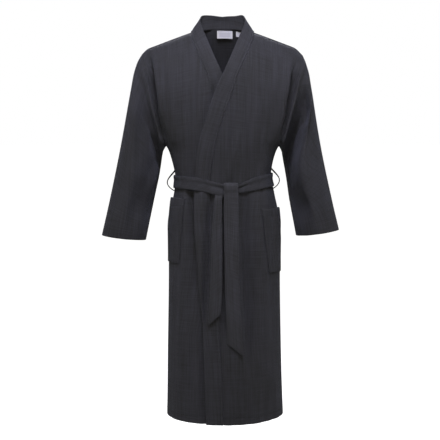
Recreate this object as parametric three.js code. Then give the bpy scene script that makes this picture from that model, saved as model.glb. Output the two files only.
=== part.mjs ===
// Long kimono bathrobe with a wrap front, patch pockets and a tied belt.
// Millimetres, +Z up, front towards -Y, the wearer's left towards +X.
// Heights below are measured from the hem; the finished group is moved so
// that z = 0 is the neck seat, the height of the shoulder seams at the neck.
import * as THREE from 'three';

// ---- driving dimensions ----
const SEAT = 1181;            // height of the neck seat above the hem
const CLOTH = 3;              // thickness of one panel
const BAND_CLOTH = 3.6;       // collar band, folded double
const HEM_CLOTH = 4.2;        // turned-up hems
const SEAM = 0.4;             // half of the gap left between neighbouring panels
const LAP = 6;                // how far the outer front stands off the under one
const HEM = 22;               // depth of the turned-up hem
const SPLIT = 430;            // height where the outer front's lower skirt starts
const ARMPIT = 834;
const ARM_LOW = 175;          // x of the armhole seam at the armpit
const TIP = [246, 1124];      // shoulder tip of the armhole, x and height
const NECK_X = 96;            // half width between the neck ends of the shoulder seams
const NECK_RISE = 13;         // back neckline, centre above its ends
const SLOPE = 0.385;          // fall of the shoulder seam per millimetre
const SIDE_POWER = 2.4;       // body cross-section, superellipse exponents
const DEPTH_POWER = 2.2;

// height, half width, front half depth, back half depth
const BODY = [
  [0, 180.5, 131, 128],
  [100, 177.5, 129, 127],
  [200, 175.5, 125, 126],
  [386, 172, 118, 123],
  [570, 170, 112, 118],
  [640, 164, 108, 110],
  [690, 154, 104.5, 100],
  [740, 147, 103, 93],
  [780, 153, 107, 97],
  [815, 163, 112, 103],
  [834, 172.5, 114, 106],
  [854, 190, 115, 109],
  [894, 214, 117, 113],
  [954, 241, 118, 118],
  [1034, 266, 117, 121],
  [1119, 291, 115, 121],
  [1240, 312, 112, 120],
];
// height, sideways drift of the body's centre
const DRIFT = [[0, 8], [200, 6], [690, 5], [750, 1.5], [800, 0], [1240, 0]];
// collar band of the outer front: seam x, seam height, free edge x, free edge height
const BAND = [
  [96, 1181, 69, 1219],
  [94, 1167, 63, 1195],
  [89, 1148, 53, 1174],
  [79, 1124, 40, 1142],
  [62, 1086, 22, 1100],
  [46, 1048, 4, 1060],
  [25, 981, -23, 998],
  [4, 928, -42, 940],
  [-17, 857, -65, 867],
  [-29, 803, -77, 808],
  [-35, 752, -82, 752],
  [-36, 700, -85, 700],
  [-33, 600, -85, 600],
  [-27, 500, -77, 500],
  [-18, 400, -69, 400],
  [-10, 280, -60, 280],
  [-2, 140, -54, 140],
  [3, 0, -50, 0],
];
// free edge of the collar behind the neck: x, y, height
const COLLAR_TOP = [[69, 0, 1219], [61, 24, 1229], [37, 36, 1230.5], [0, 41, 1228]];

// sleeves: outer and inner outline from the armhole to the cuff, x and height
const SLEEVE_RIGHT = {
  outer: [[246, 1124], [260, 1091], [272, 1055], [279, 1018], [313, 834], [348, 667], [373, 559]],
  inner: [[ARM_LOW, ARMPIT], [185, 815], [198, 741], [214, 667], [239, 543]],
};
const SLEEVE_LEFT = {
  outer: [[246, 1124], [254, 1091], [265, 1055], [271, 1018], [302, 834], [338, 667], [360, 576]],
  inner: [[ARM_LOW, ARMPIT], [184, 815], [199, 741], [210, 667], [230, 556]],
};
const SLEEVE_DEPTH = [66, 61];   // half depth near the armhole and at the cuff
const CUFF = 55;                 // depth of the cuff hem

const POCKET_LEFT = { low: 448, high: 645, inLow: 138, inHigh: 116 };
const POCKET_RIGHT = { low: 478, high: 675, inLow: 130, inHigh: 112 };
const POCKET_HEM = 25;
const POCKET_GAPE = 17;

const BELT_WIDE = 40;
const BELT_CLOTH = 3;
const BELT_OFF = [11, 5];        // belt off the body's middle surface, in front and elsewhere
const KNOT = { x: [3, 46], z: [683, 725], y: [-137.5, -117.4] };
const TAIL_LONG = [[4.5, 677], [48, 677], [51, 412], [62, 203], [15, 240], [7, 412]];
const TAIL_SHORT = [[-26, 676], [-3, 676], [-1, 584], [-1, 411], [-5, 330], [-44, 296],
  [-36, 411], [-32, 584]];
const TAIL_Y = { long: -137, short: -134 };
const LOOP = { half: 31, above: 2, bow: 23, thread: 1.3 };
const MAIN_LABEL = { x: [-17, 31], drop: [5, 31], cloth: 1.2 };
const SIZE_LABEL = { x: [42, 57], drop: [5, 20], cloth: 1.2 };

const COLOURS = {
  cloth: [0x2b2a33, 0.95],
  band: [0x2d2c36, 0.93],
  belt: [0x302f39, 0.92],
  thread: [0x26252d, 0.9],
  label: [0xd9d7dd, 0.8],
};

// ---- small numeric helpers ----
function clamp(v, low, high) {
  return Math.min(high, Math.max(low, v));
}

function lerp(a, b, t) {
  return a + (b - a) * t;
}

function smooth(low, high, v) {
  const t = clamp((v - low) / (high - low), 0, 1);
  return t * t * (3 - 2 * t);
}

// Smooth curve through rows of [key, value...], read at one key.
function curve(rows, key, column) {
  const n = rows.length;
  const up = rows[n - 1][0] > rows[0][0];
  let i = 0;
  while (i < n - 2 && (up ? key > rows[i + 1][0] : key < rows[i + 1][0])) {
    i += 1;
  }
  const slope = (k) => {
    const a = Math.max(0, k - 1);
    const b = Math.min(n - 1, k + 1);
    return (rows[b][column] - rows[a][column]) / (rows[b][0] - rows[a][0]);
  };
  const span = rows[i + 1][0] - rows[i][0];
  const t = clamp((key - rows[i][0]) / span, 0, 1);
  const p0 = rows[i][column];
  const p1 = rows[i + 1][column];
  const m0 = slope(i) * span;
  const m1 = slope(i + 1) * span;
  const t2 = t * t;
  const t3 = t2 * t;
  return (2 * t3 - 3 * t2 + 1) * p0 + (t3 - 2 * t2 + t) * m0
    + (3 * t2 - 2 * t3) * p1 + (t3 - t2) * m1;
}

// ---- the body's surface, as a depth over x and height ----
const halfWidth = (z) => curve(BODY, z, 1);
const drift = (z) => curve(DRIFT, z, 1);

function shoulderLine(x) {
  const soft = 40;
  const reach = Math.hypot(x, soft) - Math.hypot(94, soft);
  return SEAT - SLOPE * reach;
}

function section(x, z) {
  const u = clamp(Math.abs(x - drift(z)) / halfWidth(z), 0, 1);
  return Math.pow(1 - Math.pow(u, SIDE_POWER), 1 / DEPTH_POWER);
}

function frontDepth(x, z) {
  const h = clamp((shoulderLine(x) - z) / 200, 0, 1);
  const round = Math.pow(1 - Math.pow(1 - h, 2.2), 0.75);
  return curve(BODY, z, 2) * section(x, z) * round;
}

function backDepth(x, z) {
  const h = clamp((shoulderLine(x) - z) / 150, 0, 1);
  const round = Math.pow(1 - Math.pow(1 - h, 2.2), 0.5);
  return curve(BODY, z, 3) * section(x, z) * round;
}

function armholeX(z) {
  return lerp(ARM_LOW, TIP[0], (z - ARMPIT) / (TIP[1] - ARMPIT));
}

function sideX(z) {
  return z <= ARMPIT ? halfWidth(z) : armholeX(z);
}

function lapLift(x, z) {
  return LAP * (1 - smooth(95, 150, x)) * (1 - smooth(1060, 1160, z));
}

function seamX(z) {
  const rows = BAND.map((r) => [r[1], r[0]]).reverse();
  return curve(rows, z, 1);
}

function neckline(x) {
  const u = clamp(Math.abs(x) / NECK_X, 0, 1);
  return SEAT + NECK_RISE * (1 - u * u);
}

// ---- solids from grids ----
function gridNormal(grid, i, j, wrap) {
  const rows = grid.length;
  const cols = grid[0].length;
  const i0 = Math.max(0, i - 1);
  const i1 = Math.min(rows - 1, i + 1);
  const j0 = wrap ? (j + cols - 1) % cols : Math.max(0, j - 1);
  const j1 = wrap ? (j + 1) % cols : Math.min(cols - 1, j + 1);
  const du = grid[i][j1].clone().sub(grid[i][j0]);
  const dv = grid[i1][j].clone().sub(grid[i0][j]);
  return du.cross(dv).normalize();
}

// A closed skin of even thickness around a grid of points. `trim` may turn the
// thickness direction at an edge so that it stays in the plane of the seam.
function skin(grid, thick, { wrap = false, trim = null } = {}) {
  const rows = grid.length;
  const cols = grid[0].length;
  const points = [];
  for (const side of [0.5, -0.5]) {
    for (let i = 0; i < rows; i += 1) {
      for (let j = 0; j < cols; j += 1) {
        const n = gridNormal(grid, i, j, wrap);
        if (trim) {
          trim(n, i, j);
          n.normalize();
        }
        points.push(grid[i][j].clone().addScaledVector(n, side * thick));
      }
    }
  }
  const id = (side, i, j) => side * rows * cols + i * cols + (j % cols);
  const faces = [];
  const quad = (a, b, c, d) => faces.push(a, b, c, a, c, d);
  const last = wrap ? cols : cols - 1;
  for (let i = 0; i < rows - 1; i += 1) {
    for (let j = 0; j < last; j += 1) {
      quad(id(0, i, j), id(0, i, j + 1), id(0, i + 1, j + 1), id(0, i + 1, j));
      quad(id(1, i, j), id(1, i + 1, j), id(1, i + 1, j + 1), id(1, i, j + 1));
    }
  }
  for (let j = 0; j < last; j += 1) {
    quad(id(0, 0, j + 1), id(0, 0, j), id(1, 0, j), id(1, 0, j + 1));
    quad(id(0, rows - 1, j), id(0, rows - 1, j + 1), id(1, rows - 1, j + 1), id(1, rows - 1, j));
  }
  if (!wrap) {
    for (let i = 0; i < rows - 1; i += 1) {
      quad(id(0, i, 0), id(0, i + 1, 0), id(1, i + 1, 0), id(1, i, 0));
      quad(id(0, i + 1, cols - 1), id(0, i, cols - 1), id(1, i, cols - 1), id(1, i + 1, cols - 1));
    }
  }
  const geometry = new THREE.BufferGeometry();
  const flat = points.flatMap((p) => [p.x, p.y, p.z]);
  geometry.setAttribute('position', new THREE.Float32BufferAttribute(flat, 3));
  geometry.setIndex(faces);
  return geometry;
}

function finish(name, geometry, look) {
  geometry.translate(0, 0, -SEAT);
  geometry.computeVertexNormals();
  const [colour, roughness] = COLOURS[look];
  const material = new THREE.MeshStandardMaterial({ color: colour, roughness, metalness: 0 });
  const mesh = new THREE.Mesh(geometry, material);
  mesh.name = name;
  return mesh;
}

// Height of a panel point: level low down, following the shoulder seam at the top.
function rowHeight(edgeZ, topZ) {
  const w = clamp((edgeZ - 500) / (TIP[1] - 500), 0, 1);
  return edgeZ + (topZ - TIP[1]) * w * w;
}

const spread = (n) => Array.from({ length: n + 1 }, (_, k) => k / n);

// Rows from one height to another, closer together just above the armpit and
// where the cloth rolls over the shoulder.
function heights(low, high, stops) {
  return [low, ...stops.filter((z) => z > low + 4 && z < high - 4), high];
}

const STOPS = [100, 200, 320, 430, 530, 610, 665, 710, 750, 785, 815, 834, 846, 870, 910, 960,
  1010, 1050, 1080, 1100, 1113, 1121];

const armNormal = new THREE.Vector3(TIP[1] - ARMPIT, 0, ARM_LOW - TIP[0]).normalize();

// Keeps a thickness direction inside the seam plane it borders on.
function keepInPlane(n, plane) {
  n.addScaledVector(plane, -n.dot(plane));
}

// ---- front panels ----
function frontPanel(side, low, high, thick, cols) {
  const outer = side > 0;
  const rows = heights(low, high, STOPS);
  const grid = rows.map((edgeZ) => spread(cols).map((s) => {
    const across = Math.sin(s * Math.PI / 2);
    const topX = lerp(NECK_X, TIP[0], across);
    const z = rowHeight(edgeZ, shoulderLine(topX));
    const centre = drift(z);
    const edge = side * sideX(edgeZ) + centre;
    const start = side * (seamX(z) + 2 * SEAM);
    const x = lerp(start, edge, across);
    const lift = outer ? lapLift(x, z) : 0;
    const y = -Math.max(SEAM, frontDepth(x, z) + lift);
    const point = new THREE.Vector3(x, y, z);
    if (s === 1 && edgeZ > ARMPIT) {
      point.addScaledVector(mirrored(armNormal, side), -SEAM);
    }
    return point;
  }));
  const trim = (n, i, j) => {
    const edgeZ = rows[i];
    if ((j === cols && edgeZ <= ARMPIT) || edgeZ === TIP[1]) {
      n.y = 0;
    }
    if (j === cols && edgeZ > ARMPIT) {
      keepInPlane(n, mirrored(armNormal, side));
    }
    if (i === 0 || (i === rows.length - 1 && high < TIP[1])) {
      n.z = 0;
    }
  };
  return skin(grid, thick, { trim });
}

function mirrored(v, side) {
  return new THREE.Vector3(v.x * side, v.y, v.z);
}

// ---- back panel ----
function backPanel(low, high, thick) {
  const rows = heights(low, high, STOPS);
  const half = [0, 0.2, 0.39, 0.55, 0.7, 0.82, 0.92, 1];
  const across = [...half.slice(1).reverse().map((s) => -s), ...half];
  const grid = rows.map((edgeZ) => across.map((s) => {
    const topX = s * TIP[0];
    const topZ = Math.abs(topX) > NECK_X ? shoulderLine(topX) : neckline(topX);
    const z = rowHeight(edgeZ, topZ);
    const x = s * sideX(edgeZ) + drift(z);
    const y = Math.max(SEAM, backDepth(x, z));
    const point = new THREE.Vector3(x, y, z);
    if (Math.abs(s) === 1 && edgeZ > ARMPIT) {
      point.addScaledVector(mirrored(armNormal, Math.sign(s)), -SEAM);
    }
    return point;
  }));
  const trim = (n, i, j) => {
    const s = across[j];
    const edgeZ = rows[i];
    const shoulder = edgeZ === TIP[1] && Math.abs(s) > 0.38;
    if ((Math.abs(s) === 1 && edgeZ <= ARMPIT) || shoulder) {
      n.y = 0;
    }
    if (Math.abs(s) === 1 && edgeZ > ARMPIT) {
      keepInPlane(n, mirrored(armNormal, Math.sign(s)));
    }
    if (i === 0 || (i === rows.length - 1 && high < TIP[1])) {
      n.z = 0;
    }
  };
  return skin(grid, thick, { trim });
}

// ---- collar bands ----
function bandEdge(station, side, outer) {
  const at = (column) => {
    const rows = BAND.map((r, k) => [k, ...r]);
    return curve(rows, station, column + 1);
  };
  const seam = { x: at(0), z: at(1) };
  const free = { x: at(2), z: at(3) };
  const lift = (p) => (outer ? lapLift(p.x, p.z) : 0);
  const depth = (p) => frontDepth(side * p.x, p.z) + lift(p);
  const seamY = Math.max(SEAM, depth(seam));
  const freeY = Math.max(depth(free), 0.85 * seamY);
  const a = new THREE.Vector3(side * seam.x, -seamY, seam.z);
  const b = new THREE.Vector3(side * free.x, -freeY, free.z);
  return [a, b];
}

function bandStation(height) {
  let k = 0;
  while (k < BAND.length - 2 && BAND[k + 1][1] > height) {
    k += 1;
  }
  const span = BAND[k][1] - BAND[k + 1][1];
  return k + (BAND[k][1] - height) / span;
}

function frontBand(side, from, to) {
  const outer = side > 0;
  const first = bandStation(from);
  const last = bandStation(to);
  const inside = Array.from({ length: BAND.length }, (_, k) => k)
    .filter((k) => k > first + 0.2 && k < last - 0.2);
  const stations = [first, ...inside, last];
  const grid = stations.map((station) => {
    const [a, b] = bandEdge(station, side, outer);
    const across = b.clone().sub(a).normalize();
    const row = [0, 0.5, 1].map((s) => {
      const p = a.clone().lerp(b, s);
      p.addScaledVector(across, s < 0.5 ? 1.1 : 0);
      p.y -= s === 0.5 ? 1 : 0;
      return p;
    });
    if (station === first && from >= SEAT) {
      row.forEach((p) => {
        p.y = Math.min(p.y, -2 * SEAM);
      });
    }
    return row;
  });
  const trim = (n, i) => {
    if (i === 0 && from >= SEAT) {
      n.y = 0;
    }
    if ((i === 0 && from < SEAT) || i === stations.length - 1) {
      n.z = 0;
    }
  };
  return skin(grid, BAND_CLOTH, { trim });
}

function backCollar() {
  const count = 8;
  const grid = [];
  for (let k = -count; k <= count; k += 1) {
    const t = Math.abs(k) / count;
    const sign = Math.sign(k) || 1;
    const x = NECK_X * Math.sin(t * Math.PI / 2);
    const z = neckline(x);
    const seam = new THREE.Vector3(sign * x, Math.max(SEAM, backDepth(x, z)), z);
    const rows = COLLAR_TOP.map((r, m) => [m, ...r]);
    const m = 3 * (1 - t);
    const free = new THREE.Vector3(sign * curve(rows, m, 1), curve(rows, m, 2), curve(rows, m, 3));
    free.y = Math.max(free.y, 2 * SEAM);
    const across = free.clone().sub(seam).normalize();
    grid.push([0, 0.5, 1].map((s) => {
      const p = seam.clone().lerp(free, s);
      p.addScaledVector(across, s === 0 ? 1.8 : 0);
      p.y += s === 0.5 && t < 1 ? 2.5 : 0;
      return p;
    }));
  }
  const trim = (n, i) => {
    if (i === 0 || i === grid.length - 1) {
      n.y = 0;
    }
  };
  return skin(grid, BAND_CLOTH, { trim });
}

// ---- sleeves ----
function along(path, t) {
  const total = [0];
  for (let k = 1; k < path.length; k += 1) {
    total.push(total[k - 1] + Math.hypot(path[k][0] - path[k - 1][0], path[k][1] - path[k - 1][1]));
  }
  const rows = path.map((p, k) => [total[k], p[0], p[1]]);
  const key = t * total[path.length - 1];
  return [curve(rows, key, 1), curve(rows, key, 2)];
}

function sleeveRing(shape, side, t, around, push) {
  const top = along(shape.outer, t);
  const bottom = along(shape.inner, t);
  const deep = lerp(SLEEVE_DEPTH[0], SLEEVE_DEPTH[1], t);
  const settle = smooth(0, 0.4, t);
  return spread(around).slice(0, -1).map((a) => {
    const angle = 2 * Math.PI * a;
    const mix = (1 + Math.cos(angle)) / 2;
    const x = lerp(bottom[0], top[0], mix);
    const z = lerp(bottom[1], top[1], mix);
    const face = Math.sin(angle);
    const oval = deep * Math.sign(face) * Math.pow(Math.abs(face), 0.9);
    const armX = lerp(ARM_LOW, TIP[0], mix);
    const armZ = lerp(ARMPIT, TIP[1], mix);
    const hole = face >= 0 ? frontDepth(armX, armZ) : -backDepth(armX, armZ);
    const y = -lerp(hole, oval, settle);
    const p = new THREE.Vector3(side * x, y, z);
    return p.addScaledVector(mirrored(armNormal, side), push);
  });
}

function sleeve(shape, side, from, to, thick, rowsCount, around) {
  const grid = spread(rowsCount).map((k) => {
    const t = lerp(from, to, k);
    const push = t === 0 ? SEAM : 0;
    return sleeveRing(shape, side, t, around, push);
  });
  const trim = (n, i) => {
    if (i === 0 && from === 0) {
      keepInPlane(n, mirrored(armNormal, side));
    }
  };
  return skin(grid, thick, { wrap: true, trim });
}

function cuffStart(shape) {
  const outer = shape.outer;
  let length = 0;
  for (let k = 1; k < outer.length; k += 1) {
    length += Math.hypot(outer[k][0] - outer[k - 1][0], outer[k][1] - outer[k - 1][1]);
  }
  return 1 - CUFF / length * 1.35;
}

// ---- pockets ----
function pocketPatch(shape, side, low, high, thick, rowsCount) {
  const cols = 7;
  const outer = side > 0;
  const grid = spread(rowsCount).map((r) => spread(cols).map((s) => {
    const z = lerp(low, high, r);
    const t = clamp((z - shape.low) / (shape.high - shape.low), 0, 1);
    const inner = lerp(shape.inLow, shape.inHigh, t);
    const across = Math.sin(s * Math.PI / 2);
    const edge = halfWidth(z) + side * drift(z);
    const x = side * lerp(inner, edge, across);
    const lift = outer ? lapLift(x, z) : 0;
    const y = -Math.max(SEAM, frontDepth(x, z) + lift);
    const step = 0.5;
    const dx = (frontDepth(x + step, z) - frontDepth(x - step, z)) / (2 * step);
    const n = new THREE.Vector3(-dx, -1, 0).normalize();
    if (s === 1) {
      n.set(side, 0, 0);
    }
    const gape = POCKET_GAPE * Math.pow(t, 1.2) * Math.pow(Math.sin(Math.PI * Math.pow(s, 0.8)), 0.7);
    const off = CLOTH / 2 + 0.8 + HEM_CLOTH / 2 + (s === 1 ? 0 : gape);
    return new THREE.Vector3(x, y, z).addScaledVector(n, off);
  }));
  const trim = (n, i, j) => {
    if (j === cols) {
      n.y = 0;
    }
    if (i === 0 || i === rowsCount) {
      n.z = 0;
    }
  };
  return skin(grid, thick, { trim });
}

// ---- belt ----
function beltHeight(x, front) {
  const dip = front ? 26 * Math.exp(-Math.pow((x - 15) / 75, 2)) : 0;
  return 728 - dip + 3.5 * x / 150;
}

function beltPoint(angle, up) {
  const s = Math.sin(angle);
  const c = Math.cos(angle);
  const guess = 150 * Math.sign(s) * Math.pow(Math.abs(s), 2 / SIDE_POWER);
  const z = beltHeight(guess, c > 0) + up;
  const wide = halfWidth(z);
  const deep = curve(BODY, z, c > 0 ? 2 : 3);
  const x = wide * Math.sign(s) * Math.pow(Math.abs(s), 2 / SIDE_POWER);
  const y = -deep * Math.sign(c) * Math.pow(Math.abs(c), 2 / DEPTH_POWER);
  const n = new THREE.Vector3(Math.sign(s) * Math.pow(Math.abs(x) / wide, SIDE_POWER - 1) / wide,
    Math.sign(y) * Math.pow(Math.abs(y) / deep, DEPTH_POWER - 1) / deep, 0).normalize();
  const near = c > 0 ? 1 - smooth(100, 148, Math.abs(x)) : 0;
  const off = lerp(BELT_OFF[1], BELT_OFF[0], near);
  return new THREE.Vector3(x + drift(z), y, z).addScaledVector(n, off);
}

function beltWaist() {
  const count = 44;
  const grid = [-0.5, 0, 0.5].map((up) => spread(count).slice(0, -1)
    .map((a) => beltPoint(2 * Math.PI * a, up * BELT_WIDE)));
  const trim = (n, i) => {
    if (i !== 1) {
      n.z = 0;
    }
  };
  return skin(grid, BELT_CLOTH, { wrap: true, trim });
}

function plate(outline, y, thick) {
  const shape = new THREE.Shape(outline.map(([x, z]) => new THREE.Vector2(x, z)));
  const geometry = new THREE.ExtrudeGeometry(shape, { depth: thick, bevelEnabled: false });
  geometry.rotateX(Math.PI / 2);
  geometry.translate(0, y + thick / 2, 0);
  return geometry;
}

function beltKnot() {
  const [x0, x1] = KNOT.x;
  const [z0, z1] = KNOT.z;
  const cut = 7;
  const outline = [[x0 + cut, z0], [x1 - cut, z0], [x1, z0 + cut], [x1, z1 - cut],
    [x1 - cut, z1], [x0 + cut, z1], [x0, z1 - cut], [x0, z0 + cut]];
  const thick = KNOT.y[1] - KNOT.y[0];
  return plate(outline, (KNOT.y[0] + KNOT.y[1]) / 2, thick);
}

// A thread loop on the side seam, standing out around the belt.
function beltLoop(side) {
  const centre = beltHeight(150 * side, false) + LOOP.above;
  const foot = (z) => side * halfWidth(z) + drift(z) + side * (CLOTH / 2 + LOOP.thread + 0.3);
  const points = [0, 0.15, 0.4, 0.6, 0.85, 1].map((t) => {
    const z = centre + lerp(LOOP.half, -LOOP.half, t);
    const bow = LOOP.bow * Math.pow(Math.sin(Math.PI * t), 0.8);
    return new THREE.Vector3(foot(z) + side * bow, 0, z);
  });
  const path = new THREE.CatmullRomCurve3(points);
  const ring = spread(6).slice(0, -1).map((a) => new THREE.Vector2(
    LOOP.thread * Math.cos(2 * Math.PI * a),
    LOOP.thread * Math.sin(2 * Math.PI * a),
  ));
  const shape = new THREE.Shape(ring);
  return new THREE.ExtrudeGeometry(shape, { steps: 16, extrudePath: path, bevelEnabled: false });
}

// ---- labels, on the inside of the back just below the collar ----
function neckLabel(spec) {
  const grid = [1, 0.67, 0.33, 0].map((r) => spread(4).map((s) => {
    const x = lerp(spec.x[0], spec.x[1], s);
    const z = neckline(x) - lerp(spec.drop[0], spec.drop[1], r);
    const y = backDepth(x, z);
    const step = 0.5;
    const slope = (backDepth(x, z + step) - backDepth(x, z - step)) / (2 * step);
    const n = new THREE.Vector3(0, -1, slope).normalize();
    return new THREE.Vector3(x, y, z).addScaledVector(n, CLOTH / 2 + 3.8 + spec.cloth / 2);
  }));
  return skin(grid, spec.cloth);
}

// ---- assembly ----
const robe = new THREE.Group();
robe.name = 'bathrobe';
const add = (name, geometry, look) => robe.add(finish(name, geometry, look));
const startRight = cuffStart(SLEEVE_RIGHT);
const startLeft = cuffStart(SLEEVE_LEFT);

add('back_panel', backPanel(HEM + SEAM, TIP[1], CLOTH), 'cloth');
add('hem_back', backPanel(0, HEM - SEAM, HEM_CLOTH), 'cloth');
add('front_right', frontPanel(-1, HEM + SEAM, TIP[1], CLOTH, 9), 'cloth');
add('hem_front_right', frontPanel(-1, 0, HEM - SEAM, HEM_CLOTH, 9), 'cloth');
add('front_left', frontPanel(1, SPLIT + SEAM, TIP[1], CLOTH, 9), 'cloth');
add('front_left_skirt', frontPanel(1, HEM + SEAM, SPLIT - SEAM, CLOTH, 9), 'cloth');
add('hem_front_left', frontPanel(1, 0, HEM - SEAM, HEM_CLOTH, 9), 'cloth');
add('collar_back', backCollar(), 'band');
add('front_band_right', frontBand(-1, SEAT, 0), 'band');
add('front_band_left', frontBand(1, SEAT, SPLIT + SEAM), 'band');
add('front_band_left_skirt', frontBand(1, SPLIT - SEAM, 0), 'band');
add('sleeve_right', sleeve(SLEEVE_RIGHT, -1, 0, startRight - 0.001, CLOTH, 9, 18), 'cloth');
add('sleeve_left', sleeve(SLEEVE_LEFT, 1, 0, startLeft - 0.001, CLOTH, 9, 18), 'cloth');
add('cuff_hem_right', sleeve(SLEEVE_RIGHT, -1, startRight + 0.001, 1, HEM_CLOTH, 1, 18), 'cloth');
add('cuff_hem_left', sleeve(SLEEVE_LEFT, 1, startLeft + 0.001, 1, HEM_CLOTH, 1, 18), 'cloth');
for (const [label, spec, side] of [['left', POCKET_LEFT, 1], ['right', POCKET_RIGHT, -1]]) {
  const edge = spec.high - POCKET_HEM;
  add(`pocket_${label}`, pocketPatch(spec, side, spec.low, edge - SEAM, CLOTH, 5), 'cloth');
  add(`pocket_hem_${label}`, pocketPatch(spec, side, edge + SEAM, spec.high, HEM_CLOTH, 1), 'cloth');
}
add('belt_waist', beltWaist(), 'belt');
add('belt_knot', beltKnot(), 'belt');
add('belt_tail_long', plate(TAIL_LONG, TAIL_Y.long, BELT_CLOTH), 'belt');
add('belt_tail_short', plate(TAIL_SHORT, TAIL_Y.short, BELT_CLOTH), 'belt');
add('belt_loop_left', beltLoop(1), 'thread');
add('belt_loop_right', beltLoop(-1), 'thread');
add('main_label', neckLabel(MAIN_LABEL), 'label');
add('size_label', neckLabel(SIZE_LABEL), 'label');

export default robe;
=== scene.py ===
import math

import bpy
import numpy as np
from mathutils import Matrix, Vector


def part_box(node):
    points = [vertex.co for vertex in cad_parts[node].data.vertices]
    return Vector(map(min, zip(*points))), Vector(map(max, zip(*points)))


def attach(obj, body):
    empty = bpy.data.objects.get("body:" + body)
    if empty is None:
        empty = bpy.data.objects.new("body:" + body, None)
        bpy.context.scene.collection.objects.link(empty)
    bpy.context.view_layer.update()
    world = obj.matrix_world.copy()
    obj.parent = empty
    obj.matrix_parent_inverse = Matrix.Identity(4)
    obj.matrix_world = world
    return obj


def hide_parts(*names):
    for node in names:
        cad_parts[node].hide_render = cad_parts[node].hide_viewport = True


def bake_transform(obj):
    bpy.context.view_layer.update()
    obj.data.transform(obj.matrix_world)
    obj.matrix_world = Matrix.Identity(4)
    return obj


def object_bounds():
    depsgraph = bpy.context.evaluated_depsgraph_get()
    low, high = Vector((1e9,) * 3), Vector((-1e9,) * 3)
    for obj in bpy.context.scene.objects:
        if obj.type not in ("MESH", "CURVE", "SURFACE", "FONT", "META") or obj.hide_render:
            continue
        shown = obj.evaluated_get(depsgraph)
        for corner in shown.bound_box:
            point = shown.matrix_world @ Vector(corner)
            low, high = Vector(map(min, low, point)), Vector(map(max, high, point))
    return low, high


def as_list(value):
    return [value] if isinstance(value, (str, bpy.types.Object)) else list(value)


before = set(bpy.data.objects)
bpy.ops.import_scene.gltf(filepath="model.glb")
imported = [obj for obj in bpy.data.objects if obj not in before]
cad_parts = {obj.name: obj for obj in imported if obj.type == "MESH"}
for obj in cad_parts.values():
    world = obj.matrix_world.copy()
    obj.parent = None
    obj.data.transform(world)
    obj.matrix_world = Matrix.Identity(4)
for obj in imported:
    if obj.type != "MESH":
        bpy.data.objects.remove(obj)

cad_low, cad_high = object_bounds()

# ---- driving dimensions, in millimetres ----
MM = 0.001
SEAT = -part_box("hem_back")[0].z / MM  # height of the neck seat above the hem
CLOTH = 2.0  # one layer of the robe's cloth
BAND_CLOTH = 3.4  # the collar band, folded double
HEM_CLOTH = 3.6  # turned-up hems
CUFF_CLOTH = 2.4  # the cuffs' hems, turned to the inside
BELT_CLOTH = 3.0
CUFF_INSIDE = np.array((0.955, 0.93, 0.97))  # size of a cuff's hem against its cuff, so that it lies inside
FLUSH = (HEM_CLOTH - CLOTH) / 2  # sets a hem back, so that its outer face meets the cloth's
SEAM_HALF = 0.3  # how far a seam's edge lies from the seam's own plane
LAP = 6.0  # how far the outer front stands off the under one
LAP_EDGE = (95, 150)  # between these distances from the middle it comes down to the body
LAP_TOP = (1060, 1160)  # and between these heights
HEM = 22.0
CUFF = 55.0
FRONT_DROP = 10.5  # how much lower the middle of the front's hem hangs than its ends
FRONT_DROP_TOP = 260.0  # above this height the front's rows are level
FRONT_HALF = 178.0  # half width of the front at the hem
ARMPIT = 834.0  # height of the armhole seam's lower end
ARM_LOW = 175.0  # and its distance from the robe's middle
TIP = (244.5, 1117.0)  # shoulder tip, where the armhole seam crosses the shoulder
NECK_X = 96.0  # half width of the neck opening at the shoulder seams
NECK_RISE = 13.0  # how much higher the back neckline is in the middle
SLOPE = 0.385  # fall of the shoulder line
TIP_DROP = {-1: 11.0, 1: 15.0}  # rounding of the shoulder line at its tips
TIP_START = {-1: 222, 1: 214}  # distance from the middle where that rounding starts
TIP_END = 252  # and where it is complete
SIDE_POWER = 2.4  # roundness of the body's cross-section
DEPTH_POWER = 2.2
ROLL_POWER = 2.2  # roundness of the cloth where it rolls onto the shoulder
ROLL_FRONT = 200.0  # height over which the cloth rolls onto the shoulder
ROLL_BACK = 150.0
ROLL_NECK = 185.0  # the same, below the back neckline
LEVEL = 500.0  # below this height the panels' rows are level
STEP = 4.5  # spacing of the cloth's points
SHOULDER_STEP = 1.6  # and where it rolls over the shoulder, above SHOULDER_KNEE
SHOULDER_KNEE = 1070.0

# height, half width, front half depth, back half depth
BODY = (
    (0, 180.5, 131, 128),
    (100, 177.5, 129, 127),
    (200, 175.5, 125, 126),
    (386, 172, 118, 123),
    (570, 170, 112, 118),
    (640, 164, 108, 110),
    (690, 154, 104.5, 100),
    (740, 147, 103, 93),
    (780, 153, 107, 97),
    (815, 163, 112, 103),
    (834, 172.5, 114, 106),
    (854, 190, 115, 109),
    (894, 214, 117, 113),
    (954, 241, 118, 118),
    (1034, 266, 117, 121),
    (1119, 291, 115, 121),
    (1240, 312, 112, 120),
)
# how far the body's middle lies towards the wearer's left, by height
DRIFT = ((0, 8), (200, 6), (690, 5), (750, 1.5), (800, 0), (1240, 0))
# outer front's band: seam x, seam height, free edge x, free edge height
BAND = (
    (96, 1181, 69, 1219),
    (94, 1167, 63, 1195),
    (89, 1148, 53, 1174),
    (79, 1124, 40, 1142),
    (62, 1086, 22, 1100),
    (46, 1048, 4, 1060),
    (25, 981, -23, 998),
    (4, 928, -42, 940),
    (-17, 857, -65, 867),
    (-29, 803, -77, 808),
    (-35, 752, -82, 752),
    (-36, 700, -85, 700),
    (-33, 600, -85, 600),
    (-27, 500, -77, 500),
    (-18, 400, -69, 400),
    (-10, 280, -60, 280),
    (-2, 140, -54, 140),
    (3, 0, -50, 0),
)
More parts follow.
